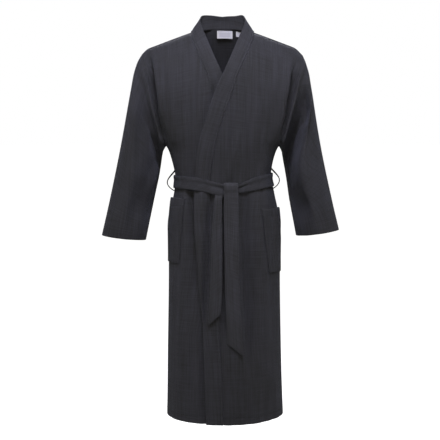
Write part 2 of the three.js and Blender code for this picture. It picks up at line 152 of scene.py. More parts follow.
# free edge of the collar behind the neck, from the shoulder to the middle: x, y, height
COLLAR_TOP = ((69, 0, 1221), (61, 24, 1234), (37, 36, 1236.5), (0, 41, 1233))
# edges of each sleeve from its armhole seam to its cuff: x, height
SLEEVE_RIGHT = {
    "outer": (TIP, (260, 1091), (272, 1055), (279, 1018), (313, 834), (348, 667), (373, 559)),
    "inner": ((ARM_LOW, ARMPIT), (185, 815), (198, 741), (214, 667), (239, 543)),
}
SLEEVE_LEFT = {
    "outer": ((TIP[0], TIP[1] - 4.5), (254, 1091), (265, 1055), (271, 1018), (302, 834), (338, 667),
              (360, 576)),
    "inner": ((ARM_LOW, ARMPIT), (184, 815), (199, 741), (210, 667), (230, 556)),
}
SLEEVE_LENGTH = 600.0  # a sleeve's rough length, for the spacing of its points
SLEEVE_DEPTH = (72.0, 62.0)  # its half depth at the armhole and at the cuff
SLEEVE_SLOPE = 0.9  # how straight the sleeve's front falls away to its inner edge
SLEEVE_POWER = {1: 1.15, -1: 1.2}  # how hollow that slope is
SLEEVE_TURN = {1: 52.0, -1: 34.0}  # how far back the sleeve's inner edge is turned
PLEAT = 24.0  # depth of the left sleeve's long front fold
UNDER_SEAM = 4.0  # how far a sleeve reaches under the panels
SLEEVE_FOLD = 1.4  # strength of its folds
SLEEVE_HOLLOW = (11.0, 4.0)  # how far it falls in beside the armhole seam, in front and behind
SLEEVE_SAG = {1: 8.0, -1: 24.0}  # how far its front sags above the elbow
SLEEVE_SAG_BACK = 3.0
POCKET_LEFT = {"low": 448, "high": 645, "in_low": 138, "in_high": 116}
POCKET_RIGHT = {"low": 478, "high": 675, "in_low": 130, "in_high": 112}
POCKET_HEM = 25.0
POCKET_GAPE = 10.0  # how far the mouth stands open
BELT_WIDE = 36.0
BELT_HIGH = 728.0  # height of the belt's middle at the sides and behind
BELT_DIP = 26.0  # how much lower it passes at the knot
GATHER_HIGH = 712.0  # height at which the belt gathers the cloth
BELT_OFF = (10.5, 4.5)  # how far the belt stands off the body, in front and elsewhere
BELT_OVER_TAIL = 12.0  # and how much further where it passes over the short tail's root
COLLAR_BOW = 2.5  # how far the collar's middle stands back
SEAM_DIP = 3.2  # depth of the armhole seam's crease
# Each sheet as it is cut, before it hangs: width, length and area, in metres; how it is held; and what
# it hangs from.
CUTS = {
    "back_panel": (0.56, 1.24, 0.57, "hung", ("collar_back",)),
    "front_right": (0.29, 1.24, 0.285, "hung", ("back_panel",)),
    "front_left": (0.29, 1.24, 0.295, "hung", ("back_panel",)),
    "front_band_right": (0.055, 1.30, 0.065, "hung", ("front_right",)),
    "front_band_left": (0.055, 1.30, 0.068, "hung", ("front_left",)),
    "collar_back": (0.055, 0.23, 0.0095, "folded", ("back_panel",)),
    "sleeve_right": (0.72, 0.58, 0.20, "hung", ("back_panel", "front_right")),
    "sleeve_left": (0.72, 0.56, 0.198, "hung", ("back_panel", "front_left")),
    "pocket_right": (0.105, 0.175, 0.0175, "hung", ("front_right",)),
    "pocket_left": (0.118, 0.175, 0.019, "hung", ("front_left",)),
    "belt_waist": (0.038, 0.86, 0.032, "stretched", ("back_panel",)),
    "belt_knot": (0.041, 0.10, 0.004, "folded", ("belt_waist",)),
    "belt_tail_long": (0.045, 0.52, 0.0215, "hung", ("belt_knot",)),
    "belt_tail_short": (0.036, 0.40, 0.0122, "hung", ("belt_knot",)),
    "main_label": (0.048, 0.023, None, "hung", ("back_panel",)),
    "size_label": (0.015, 0.015, None, "hung", ("back_panel",)),
}
# The belt's ends: (height, x) down their edges, the tip's heights, the depth, a seed for their
# unevenness, and the height and depth over which their tops roll back.
TAILS = {
    "long": {
        "left": ((724, 6.0), (703, 5.5), (585, 6.5), (412, 9), (300, 13.5), (203, 18)),
        "right": ((724, 44.5), (703, 46.0), (585, 47), (412, 50), (300, 55.5), (203, 60.5)),
        "tip": (240, 204.5), "y": -137.0, "seed": 61, "roll": (8, 8),
    },
    "short": {
        "left": ((693, -20), (676, -23), (644, -25), (584, -30.5), (411, -35), (296, -42.5)),
        "right": ((693, 0), (676, -3), (584, -2.5), (411, -2.5), (330, -6.5), (296, -8)),
        "tip": (297.5, 330), "y": -134.0, "seed": 71, "roll": (22, 16),
    },
}
TAIL_STEP = 4.0  # spacing of the points down the belt's ends
STITCH = (2.7, 3.6, 0.5)  # a stitch's length, its pitch and its thickness
STITCH_SINK = 0.1  # how far it sinks into the cloth
LABEL_TOP = 5.6  # from the neckline down to the labels
FLOOR_HALF = 60.0  # metres
FLOOR_DROP = 0.32  # metres from the hem down to the floor


# ---- numbers ----
def smooth(low, high, v):
    t = np.clip((v - low) / (high - low), 0, 1)
    return t * t * (3 - 2 * t)


def lerp(a, b, t):
    return a + (b - a) * t


def signed(v, power):
    """A power of the number's size, with the number's sign."""
    return np.sign(v) * np.abs(v) ** power


def hump(v, centre, width):
    return np.exp(-(((v - centre) / width) ** 2))


def curve(rows, key, column=1):
    """Smooth curve through rows of (key, values...), read at an array of keys."""
    rows = np.asarray(rows, float)
    if rows[0, 0] > rows[-1, 0]:
        rows = rows[::-1]
    k = rows[:, 0]
    v = rows[:, column]
    slope = np.empty_like(v)
    slope[1:-1] = (v[2:] - v[:-2]) / (k[2:] - k[:-2])
    slope[0] = (v[1] - v[0]) / (k[1] - k[0])
    slope[-1] = (v[-1] - v[-2]) / (k[-1] - k[-2])
    i = np.clip(np.searchsorted(k, key, side="right") - 1, 0, len(k) - 2)
    span = k[i + 1] - k[i]
    t = np.clip((key - k[i]) / span, 0, 1)
    t2 = t * t
    t3 = t2 * t
    ends = (2 * t3 - 3 * t2 + 1) * v[i] + (3 * t2 - 2 * t3) * v[i + 1]
    return ends + (t3 - 2 * t2 + t) * slope[i] * span + (t3 - t2) * slope[i + 1] * span


def ripple(u, v, seed, across, along, count=14):
    """Smooth fixed unevenness of about unit height, with typical wavelengths across and along."""
    random = np.random.default_rng(seed)
    total = np.zeros(np.broadcast(u, v).shape)
    for _ in range(count):
        a = random.normal(0, 1 / across)
        b = random.normal(0, 1 / along)
        total += np.sin(2 * math.pi * (a * u + b * v) + random.uniform(0, 2 * math.pi))
    return total / math.sqrt(count)


def fold_field(x, z, folds):
    """Sum of long folds. Each is rows of (z, x, lift) and its widths towards -x and +x."""
    total = np.zeros(np.broadcast(x, z).shape)
    for rows, low_width, high_width in folds:
        centre = curve(rows, z)
        ends = sorted((rows[0][0], rows[-1][0]))
        fade = np.where((z > ends[0]) & (z < ends[1]), 1.0, 0.0)
        away = x - centre
        width = np.where(away < 0, low_width, high_width)
        total += fade * curve(rows, z, 2) * hump(away, 0, width)
    return total


# ---- the body's surface ----
def half_width(z):
    return curve(BODY, z)


def drift(z):
    return curve(DRIFT, z)


def shoulder_line(x):
    """Height where front and back meet, rounded off at the shoulder tips."""
    drop = np.where(x > 0, TIP_DROP[1], TIP_DROP[-1])
    start = np.where(x > 0, TIP_START[1], TIP_START[-1])
    rounding = drop * smooth(start, TIP_END, np.abs(x)) ** 1.4
    return SEAT - SLOPE * (np.hypot(x, 40) - np.hypot(94, 40)) - rounding


def section(x, z):
    u = np.clip(np.abs(x - drift(z)) / half_width(z), 0, 1)
    return (1 - u**SIDE_POWER) ** (1 / DEPTH_POWER)


def front_depth(x, z):
    """The front rolls over the shoulders, and steps back beside the armhole seams."""
    h = np.clip((shoulder_line(x) - z) / ROLL_FRONT, 0, 1)
    step = smooth(20, 4, armhole_x(z) - np.abs(x)) * smooth(842, 890, z) * smooth(1090, 1010, z)
    return curve(BODY, z, 2) * section(x, z) * (1 - (1 - h) ** ROLL_POWER) ** 0.75 * (1 - 0.3 * step)


def back_depth(x, z):
    """The back rolls over the shoulders, and hangs straighter below the neck."""
    h = np.clip((shoulder_line(x) - z) / ROLL_BACK, 0, 1)
    rolled = (1 - (1 - h) ** ROLL_POWER) ** 0.5
    start = 9.0
    reach = (1 - (1 - start / ROLL_BACK) ** ROLL_POWER) ** 0.5
    below = np.clip((shoulder_line(x) - start - z) / ROLL_NECK, 0, 1) ** 1.3
    below = below * (1.6 - 0.6 * below)
    straight = np.where(h < start / ROLL_BACK, rolled, reach + (1 - reach) * below)
    share = lerp(rolled, straight, 1 - smooth(55, 125, np.abs(x)))
    return curve(BODY, z, 3) * section(x, z) * share


def armhole_x(z):
    return lerp(ARM_LOW, TIP[0], (z - ARMPIT) / (TIP[1] - ARMPIT))


def side_x(z):
    """Edge of the panels: the side seam, then the armhole seam, a rim's radius short of the sleeve."""
    return np.where(z <= ARMPIT, half_width(z), armhole_x(z) - CLOTH / 2 * smooth(ARMPIT, 860, z))


def lap_lift(x, z):
    return LAP * (1 - smooth(*LAP_EDGE, x)) * (1 - smooth(*LAP_TOP, z))


def seam_x(z):
    return curve([(row[1], row[0]) for row in BAND], z, 1)


def neckline(x):
    u = np.clip(np.abs(x) / NECK_X, 0, 1)
    return SEAT + NECK_RISE * (1 - u * u)


def row_height(edge_z, top_z):
    """Rows rise from their height at the panel's edge towards the shoulder line above them."""
    w = np.clip((edge_z - LEVEL) / (TIP[1] - LEVEL), 0, 1)
    return edge_z + (top_z - TIP[1]) * w * w


# ---- folds ----
FOLD = 2.0  # strength of the long folds
# Long folds of the front: rows of (height, x, lift), then the widths to each side.
FRONT_FOLDS = (
    # beside the armholes: a valley falling away from the chest, and a ridge on its inner side
    (((1125, -228, 0), (1082, -222, -7), (1030, -214, -8.5), (985, -206, -5), (940, -198, 0)), 15, 9),
    (((1112, -202, 0), (1082, -203, 1.6), (1030, -197, 2.4), (976, -188, 3), (920, -179, 2.4),
      (852, -166, 0)), 7, 15),
    (((1130, -168, 0), (1045, -163, 1.6), (960, -150, 0)), 10, 14),
    (((1105, 224, 0), (1060, 220, -6), (1010, 212, -7.5), (970, 204, -5), (930, 196, 0)), 9, 15),
    (((1090, 200, 0), (1040, 199, 2), (970, 189, 2.6), (893, 174, 2), (850, 165, 0)), 14, 7),
    # chest, running down into the belt
    (((930, -118, 0), (840, -114, 1.6), (745, -112, 2.6), (715, -112, 0)), 11, 9),
    (((900, -60, 0), (810, -56, 1.5), (745, -58, 2.4), (715, -58, 0)), 9, 9),
    (((900, 46, 0), (850, 39, 1.6), (750, 18, 2.6), (718, 12, 0)), 9, 12),
    (((1010, 96, 0), (880, 92, 1.8), (750, 84, 2.6), (720, 82, 0)), 13, 13),
    (((880, 132, 0), (800, 122, 1.5), (748, 116, 2.2), (722, 114, 0)), 9, 9),
    # skirt, running down from the belt
    (((712, -116, 0), (680, -116, 2.6), (560, -119, 2.0), (330, -122, 1.4), (120, -126, 0)), 13, 13),
    (((712, -97, 0), (670, -98, -2.6), (520, -93, -2.2), (380, -84, -1.4), (240, -78, 0)), 6, 7),
    (((706, -62, 0), (660, -62, 2.4), (520, -58, 1.7), (360, -48, 1.2), (200, -40, 0)), 12, 12),
    (((700, -32, 0), (665, -36, -5), (580, -45, -8), (430, -51, -9), (320, -54, -6), (220, -50, 0)), 9, 8),
    (((702, 58, 0), (640, 60, -5), (520, 64, -8), (400, 69, -9.5), (250, 75, -8), (120, 80, 0)), 11, 25),
    (((690, 2, 0), (600, 1, -5), (450, 3, -7), (330, 2, -5), (240, 4, 0)), 8, 8),
    (((715, 100, 0), (650, 104, 2.4), (430, 112, 2.2), (200, 116, 0)), 16, 16),
    (((300, 20, 0), (200, 16, 2.4), (90, 14, 0)), 22, 26),
    (((340, -20, 0), (200, -22, -1.6), (60, -22, 0)), 14, 14),
)
# The same for the back.
BACK_FOLDS = (
    (((1090, -196, 0), (1000, -188, 3.5), (880, -165, 0)), 14, 11),
    (((1090, 196, 0), (1000, 188, 3.5), (880, 165, 0)), 11, 14),
    (((960, -82, 0), (850, -78, 2.2), (745, -74, 3.4), (718, -74, 0)), 14, 14),
    (((940, 22, 0), (820, 18, 2.0), (745, 16, 3.0), (718, 16, 0)), 12, 12),
    (((980, 96, 0), (850, 92, 2.4), (745, 86, 3.4), (718, 86, 0)), 15, 13),
    (((700, -96, 0), (640, -98, 3.6), (420, -106, 3.0), (120, -112, 1.2), (20, -114, 0)), 17, 15),
    (((700, -34, 0), (640, -36, 3.4), (380, -40, 2.8), (90, -44, 0)), 16, 15),
    (((700, 34, 0), (620, 36, 3.2), (360, 44, 2.6), (60, 48, 0)), 15, 17),
    (((700, 96, 0), (640, 98, 3.6), (400, 108, 2.6), (100, 116, 0)), 15, 17),
)


def gathers(x, z, seed):
    """Small pleats where the belt draws the cloth in, dying out above and below it."""
    off = z - GATHER_HIGH
    near = np.where(off > 0, np.exp(-off / 55.0), np.exp(off / 80.0))
    return 1.7 * near * ripple(x, 0 * z, seed, 26, 900, 10)


def edge_fade(x, z):
    """Folds flatten towards the side seams, and close beside the armhole seams."""
    edge = np.where(z <= ARMPIT, half_width(z) + drift(z) * np.sign(x), armhole_x(z))
    reach = lerp(26, 9, smooth(ARMPIT, 880, z))
    return smooth(0.1, 1, (edge - np.abs(x)) / reach)


def front_folds(x, z):
    soft = 1.8 * ripple(x, z, 3, 80, 600) * smooth(1150, 1000, z)
    return (FOLD * fold_field(x, z, FRONT_FOLDS) + soft + gathers(x, z, 5)) * edge_fade(x, z)


def back_folds(x, z):
    soft = 2.0 * ripple(x, z, 8, 100, 700) * smooth(1150, 1000, z)
    return (FOLD * fold_field(x, z, BACK_FOLDS) + soft + 1.3 * gathers(x, z, 9)) * edge_fade(x, z)


# ---- grids and skins ----
def box_mm(name):
    """Corners of a node's box, in millimetres above the hem."""
    return [np.array(corner) / MM + (0, 0, SEAT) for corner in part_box(name)]


def unit(v):
    return v / np.maximum(np.linalg.norm(v, axis=-1, keepdims=True), 1e-9)


def normals(grid, wrap=False):
    if wrap:
        across = np.roll(grid, -1, 1) - np.roll(grid, 1, 1)
    else:
        across = np.gradient(grid, axis=1)
    return unit(np.cross(across, np.gradient(grid, axis=0)))


def stack(*parts):
    return np.stack(np.broadcast_arrays(*parts), axis=-1)


def lengths(grid, axis):
    """Distance travelled along an axis of the grid, in metres."""
    steps = np.linalg.norm(np.diff(grid, axis=axis), axis=2) * MM
    return np.concatenate([np.zeros_like(np.take(steps, [0], axis)), np.cumsum(steps, axis)], axis)


def border(rows, cols, wrap):
    """Loops of point numbers around the grid's edges, with the cloth on their left."""
    ids = np.arange(rows * cols).reshape(rows, cols)
    if wrap:
        return [ids[0], ids[-1][::-1]]
    return [np.concatenate([ids[0], ids[1:, -1], ids[-1, -2::-1], ids[-2:0:-1, 0]])]


def skin(name, grid, thick, wrap=False, upright=False):
    """A closed mesh around a grid of points: two faces and a rounded rim.

    Where the grain is upright, the weave's lines are counted from the middle of the robe."""
    rows, cols = grid.shape[:2]
    n = normals(grid, wrap).reshape(-1, 3)
    half = thick / 2
    middle = grid.reshape(-1, 3)
    points = [middle + n * half, middle - n * half]
    u = lengths(grid, 1)
    if upright:
        row = np.arange(rows)
        middle_column = np.argmin(np.abs(grid[..., 0]), axis=1)
        u = u + (grid[row, middle_column, 0] * MM - u[row, middle_column])[:, None]
    v = np.broadcast_to(lengths(grid, 0)[:, cols // 2][:, None], (rows, cols))
    flat = np.stack([u, v], axis=-1).reshape(-1, 2)
    uv = [flat, flat]
    ids = np.arange(rows * cols).reshape(rows, cols)
    right = np.roll(ids, -1, 1) if wrap else ids[:, 1:]
    left = ids if wrap else ids[:, :-1]
    front = np.stack([left[:-1], right[:-1], right[1:], left[1:]], axis=-1).reshape(-1, 4)
    faces = [front, front[:, ::-1] + rows * cols]
    count = 2 * rows * cols
    for loop in border(rows, cols, wrap):
        ahead = unit(np.roll(middle[loop], -1, 0) - np.roll(middle[loop], 1, 0))
        out = unit(np.cross(ahead, n[loop]))
        rings = [loop]
        for angle in (math.pi / 4, math.pi / 2, 3 * math.pi / 4):
            ring = middle[loop] + half * (n[loop] * math.cos(angle) + out * math.sin(angle))
            points.append(ring)
            uv.append(flat[loop])
            rings.append(np.arange(count, count + len(loop)))
            count += len(loop)
        rings.append(loop + rows * cols)
        for a, b in zip(rings, rings[1:]):
            faces.append(np.stack([a, b, np.roll(b, -1), np.roll(a, -1)], axis=-1))
    return mesh_object(name, np.concatenate(points), np.concatenate(faces).tolist(), np.concatenate(uv))


def add_object(name, data):
    obj = bpy.data.objects.new(name, data)
    bpy.context.scene.collection.objects.link(obj)
    return obj


def mesh_object(name, points, faces, uv=None):
    """An object from points in millimetres above the hem."""
    mesh = bpy.data.meshes.new(name)
    placed = (points - np.array((0, 0, SEAT))) * MM
    mesh.from_pydata(placed.tolist(), [], faces)
    if uv is not None:
        layer = mesh.uv_layers.new(name="cloth_metres")
        corners = np.array([loop.vertex_index for loop in mesh.loops])
        layer.data.foreach_set("uv", uv[corners].astype(np.float32).ravel())
    mesh.polygons.foreach_set("use_smooth", np.ones(len(mesh.polygons), bool))
    mesh.update()
    return add_object(name, mesh)


def displaced(grid, lift, wrap=False):
    return grid + normals(grid, wrap) * lift[..., None]


def rows_between(low, high, step=STEP):
    return np.linspace(low, high, max(3, int(round((high - low) / step)) + 1))


# ---- stitching ----
def outer_line(grid, thick, row=None, col=None, wrap=False):
    """One row or column of a panel's grid, raised to its outer face, and its normals."""
    n = normals(grid, wrap)
    line = grid[row] if row is not None else grid[:, col]
    up = n[row] if row is not None else n[:, col]
    if wrap:
        line = np.concatenate([line, line[:1]])
        up = np.concatenate([up, up[:1]])
    return line + up * (thick / 2), up


def stitch_points(line, normal):
    """The stitches along a line of points, each of four rings of four points."""
    length, pitch, thick = STITCH
    steps = np.linalg.norm(np.diff(line, axis=0), axis=1)
    far = np.concatenate([[0], np.cumsum(steps)])
    at = np.arange(pitch, far[-1] - pitch / 2, pitch)
    centre = np.stack([np.interp(at, far, line[:, k]) for k in range(3)], axis=1)
    up = unit(np.stack([np.interp(at, far, normal[:, k]) for k in range(3)], axis=1))
    ahead = unit(np.gradient(centre, axis=0))
    side = unit(np.cross(up, ahead))
    centre = centre + up * (thick / 2 - STITCH_SINK)
    rings = []
    for along, size in ((-0.5, 0.15), (-0.3, 0.5), (0.3, 0.5), (0.5, 0.15)):
        for a, b in ((1, 0), (0, 1), (-1, 0), (0, -1)):
            offset = side * (a * size * thick) + up * (b * size * thick)
            rings.append(centre + ahead * (along * length) + offset)
    return np.stack(rings, axis=1)


def stitching(name, *lines):
    """One object of the stitches along all the lines."""
    points = np.concatenate([stitch_points(*line) for line in lines])
    sides = [(4 * k + j, 4 * k + (j + 1) % 4, 4 * k + 4 + (j + 1) % 4, 4 * k + 4 + j)
             for k in range(3) for j in range(4)]
    sides += [(3, 2, 1, 0), (12, 13, 14, 15)]
    base = 16 * np.arange(len(points))
    faces = (base[:, None, None] + np.array(sides)[None]).reshape(-1, 4)
    return mesh_object(name, points.reshape(-1, 3), faces.tolist())


# ---- panels ----
def panel_rows(low, high):
    """Edge heights of a panel's rows, closer where the cloth rolls over the shoulder."""
    if high <= SHOULDER_KNEE:
        return rows_between(low, high)
    upper = rows_between(SHOULDER_KNEE, high, SHOULDER_STEP)
    return np.concatenate([rows_between(low, SHOULDER_KNEE)[:-1], upper])


def armhole_dip(x, z):
    """The cloth dips into the armhole seam."""
    away = armhole_x(z) - np.abs(x)
    ends = smooth(ARMPIT, ARMPIT + 25, z) * smooth(1105, 1050, z)
    return -SEAM_DIP * hump(away, 0, 4.0) * ends


def hem_drop(x, z):
    """The front hangs lower than the sides near the hem."""
    return FRONT_DROP * (1 - smooth(0, FRONT_DROP_TOP, z)) * np.clip(1 - (x / FRONT_HALF) ** 2, 0, 1)


def front_surface(side, x, z):
    lift = lap_lift(x, z) if side > 0 else 0 * x
    return stack(x, -np.maximum(SEAM_HALF, front_depth(x, z) + lift), z)


# A hollow of the under front beside the outer front's free edge.
UNDER_FOLDS = (
    (((1110, 26, 0), (1075, 8, -3), (1000, -26, -4), (940, -46, -4), (867, -69, -4), (808, -81, -4),
      (752, -87, -3.5), (700, -91, -5), (640, -92, -6.5), (500, -84, -7.5), (400, -76, -8), (280, -67, -8),
      (140, -61, -8), (-40, -56, -8)), 8, 16),
)


def front_grid(side, low, high):
    """A front panel, from the band's seam to the side seam and the armhole."""
    edge_z = panel_rows(low, high)[:, None]
    across = np.sin(np.linspace(0, 1, 50)[None] * math.pi / 2)
    top_x = lerp(NECK_X + CLOTH / 2, side_x(TIP[1]), across)
    z = row_height(edge_z, shoulder_line(side * top_x))
    x = lerp(side * (seam_x(z) + CLOTH / 2), side * side_x(edge_z) + drift(z), across)
    grid = front_surface(side, x, z)
    grid[..., 1] = lerp(grid[..., 1], -SEAM_HALF, smooth(TIP[1] - 5, TIP[1], edge_z))
    grid[..., 2] -= hem_drop(x, z)
    grid = grid[:, ::side]
    x, z = grid[..., 0], grid[..., 2]
    folds = front_folds(x, z) + armhole_dip(x, z)
    if side < 0:
        folds = folds + fold_field(x, z, UNDER_FOLDS)
    return displaced(grid, folds)


def back_grid(low, high):
    """The back panel, from side seam to side seam, up to the shoulders and the neckline."""
    edge_z = panel_rows(low, high)[:, None]
    s = np.sin(np.linspace(-1, 1, 93) * math.pi / 2)[None, :]
    top_x = s * side_x(TIP[1])
    top_z = np.where(np.abs(top_x) > NECK_X, shoulder_line(top_x), neckline(top_x))
    z = row_height(edge_z, top_z)
    x = s * side_x(edge_z) + drift(z)
    shoulder = smooth(TIP[1] - 5, TIP[1], edge_z) * smooth(NECK_X, NECK_X + 8, np.abs(x))
    y = lerp(np.maximum(SEAM_HALF, back_depth(x, z)), SEAM_HALF, shoulder)
    lift = back_folds(x, z) + armhole_dip(x, z)
    return displaced(stack(x, y, z)[:, ::-1], lift[:, ::-1])


def band_grid(side, first, last):
    """The collar band of one front, from the shoulder seam down, between two heights."""
    rows = [(k, *row) for k, row in enumerate(BAND)]
    heights = [(row[1], k) for k, row in enumerate(BAND)]
    station = curve(heights, rows_between(last, first), 1)[::-1][:, None]
    s = np.array((0, 0.03, 0.07, 0.11, 0.16, 0.24, 0.36, 0.5, 0.64, 0.76, 0.86, 0.93, 0.97, 1.0))[None]
    seam = (curve(rows, station) * side, curve(rows, station, 2))
    free = (curve(rows, station, 3) * side, curve(rows, station, 4))
    lift = [lap_lift(p[0], p[1]) if side > 0 else 0 for p in (seam, free)]
    seam_y = np.maximum(CLOTH / 2, front_depth(*seam) + lift[0])
    free_y = np.maximum(front_depth(*free) + lift[1], 0.85 * seam_y)
    a = stack(seam[0], -seam_y, seam[1])
    b = stack(free[0], -free_y, free[1])
    wide = np.linalg.norm(b - a, axis=-1, keepdims=True)
    a = a + (b - a) / wide * BAND_CLOTH / 2
    b = b - (b - a) / wide * BAND_CLOTH / 2
    grid = lerp(a, b, s[..., None])
    grid[..., 2] -= hem_drop(grid[..., 0], grid[..., 2])
    grid = grid[::-1, ::-side]
    x, z = grid[..., 0], grid[..., 2]
    across = s[:, ::-side]
    plump = 1.0 * np.sin(math.pi * across) ** 0.7
    ridge = 1.3 * hump(across, 0.05, 0.035) - 0.9 * hump(across, 0.13, 0.04)
    folds = front_folds(x, z)
    if side > 0:
        folds = folds + 3.0 * smooth(0.55, 1.0, across) * smooth(700, 640, z)
    else:
        folds = folds + fold_field(x, z, UNDER_FOLDS)
    return displaced(grid, folds + plump + ridge)


def collar_grid():
    """The collar behind the neck, from the back neckline up to its free edge."""
    t = np.linspace(-1, 1, 71)[:, None]
    s = np.array((0, 0.05, 0.1, 0.16, 0.28, 0.42, 0.56, 0.7, 0.82, 0.91, 0.96, 1.0))[None]
    sign = np.where(t < 0, -1.0, 1.0)
    x = NECK_X * np.sin(np.abs(t) * math.pi / 2)
    z = neckline(x)
    seam = stack(sign * x, np.maximum(CLOTH / 2, back_depth(x, z)), z)
    rows = [(k, *row) for k, row in enumerate(COLLAR_TOP)]
    m = 3 * (1 - np.abs(t))
    free = stack(sign * curve(rows, m), np.maximum(curve(rows, m, 2), CLOTH / 2), curve(rows, m, 3))
    wide = np.linalg.norm(free - seam, axis=-1, keepdims=True)
    a = seam + (free - seam) / wide * BAND_CLOTH / 2
    b = free - (free - seam) / wide * BAND_CLOTH / 2
    grid = lerp(a, b, s[..., None])
    grid[..., 1] += COLLAR_BOW * np.sin(math.pi * s) * np.sqrt(np.clip(1 - np.abs(t) ** 4, 0, 1))
    grid[..., 2] += 1.6 * s * ripple(t * 80, 0 * t, 21, 60, 500)
    return grid


# ---- sleeves ----
def along(path, t):
    """Points of a smooth line through the path's points, at shares of its length."""
    path = np.asarray(path, float)
    steps = np.concatenate([[0], np.cumsum(np.linalg.norm(np.diff(path, axis=0), axis=1))])
    rows = np.column_stack([steps, path])
    return curve(rows, t * steps[-1]), curve(rows, t * steps[-1], 2)


def cuff_start(shape):
    """Share of the sleeve's length at which its cuff's hem begins."""
    outer = np.asarray(shape["outer"], float)
    return 1 - CUFF / np.linalg.norm(np.diff(outer, axis=0), axis=1).sum() * 1.35


# Where the sleeve is deepest in front, as a share of the way from its inner to its outer edge.
SLEEVE_CREST = {
    1: ((0, 0.6), (0.1, 0.84), (0.25, 0.9), (0.3, 0.76), (0.36, 0.62), (0.41, 0.5), (0.48, 0.42),
        (0.6, 0.38), (0.8, 0.44), (1, 0.5)),
    -1: ((0, 0.58), (0.15, 0.74), (0.35, 0.7), (0.6, 0.58), (1, 0.5)),
}
# Folds of the sleeves: rows of (share of the length, share across, lift), then widths.
SLEEVE_FOLDS = {
    1: (
        (((0.1, 0.5, 0), (0.2, 0.62, -4), (0.3, 0.56, -5), (0.42, 0.38, -4), (0.6, 0.3, 0)), 0.2, 0.12),
        (((0.16, 0.95, 0), (0.25, 0.93, 3), (0.323, 0.77, 5), (0.435, 0.55, 5), (0.62, 0.5, 0)), 0.05, 0.14),
        (((0.1, 0.0, 0), (0.24, 0.14, 1.6), (0.4, 0.24, 1.4), (0.55, 0.3, 0)), 0.06, 0.06),
        (((0.55, 0.4, 0), (0.75, 0.34, 2.5), (0.98, 0.3, 0)), 0.12, 0.12),
        (((0.5, 0.75, 0), (0.7, 0.72, -1.8), (0.95, 0.7, 0)), 0.10, 0.10),
    ),
    -1: (
        (((0.02, 0.12, 0), (0.14, 0.34, -3.5), (0.28, 0.5, -2.6), (0.42, 0.6, 0)), 0.08, 0.10),
        (((0.06, 0.3, 0), (0.2, 0.5, 2.8), (0.4, 0.62, 2.2), (0.6, 0.66, 0)), 0.09, 0.12),
        (((0.1, 0.0, 0), (0.24, 0.15, 3.4), (0.42, 0.32, 2.4), (0.6, 0.42, 0)), 0.08, 0.09),
        (((0.24, 0.0, 0), (0.38, 0.12, -3.5), (0.55, 0.24, -2), (0.7, 0.3, 0)), 0.08, 0.08),
        (((0.5, 0.5, 0), (0.72, 0.44, 2.5), (0.98, 0.4, 0)), 0.12, 0.12),
        (((0.6, 0.2, 0), (0.8, 0.22, -2), (0.98, 0.2, 0)), 0.09, 0.09),
    ),
}


def sleeve_profile(mix, t, side, front):
    """Depth across the sleeve, as a share: a long slope in front up to its crest, and a round back."""
    crest = np.where(front, curve(SLEEVE_CREST[side], t), 0.5)
    inner = np.clip(mix / crest, 0, 1)
    outer = np.clip((1 - mix) / (1 - crest), 0, 1)
    round_inner = np.sqrt(1 - (1 - inner) ** 2)
    round_outer = np.sqrt(1 - (1 - outer) ** 2)
    straight = np.where(front, SLEEVE_SLOPE * (1 - smooth(0.55, 1, t)), 0)
    return np.where(mix < crest, lerp(round_inner, inner ** SLEEVE_POWER[side], straight), round_outer)


